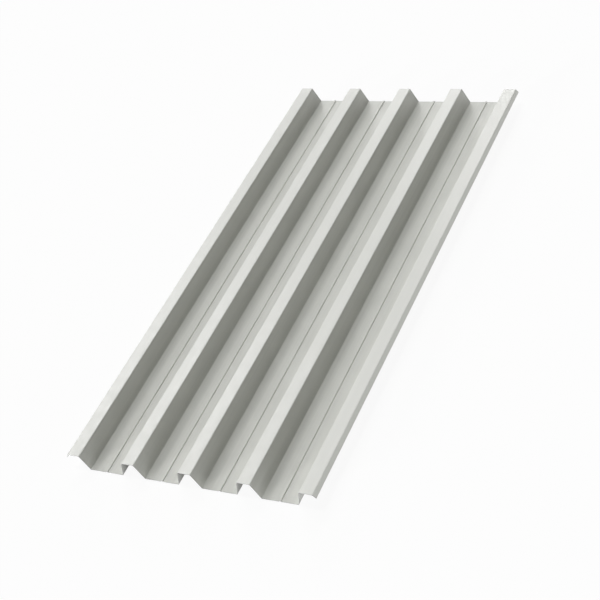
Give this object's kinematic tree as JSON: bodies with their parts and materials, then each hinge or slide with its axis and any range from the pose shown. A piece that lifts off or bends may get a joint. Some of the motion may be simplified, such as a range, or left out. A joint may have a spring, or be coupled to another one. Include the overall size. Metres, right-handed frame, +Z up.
{
  "type": "corrugated metal sheet",
  "caption": "Long trapezoidal corrugated steel sheet, coated pale grey, with a small stiffening bead along each trough, for roofs, decks and fences.",
  "frame": {"origin": "middle of the sheet's overall length and width, on the plane of the trough undersides that it rests on", "axes": "+X across the waves towards the wider edge flange, +Y along the waves, +Z up out of the coated weather side"},
  "size_m": [0.9054, 1.87, 0.0608],
  "materials": {
    "coated_steel": "satin"
  },
  "bodies": {
    "root": {"corrugated_sheet": "coated_steel"}
  },
  "joints": []
}
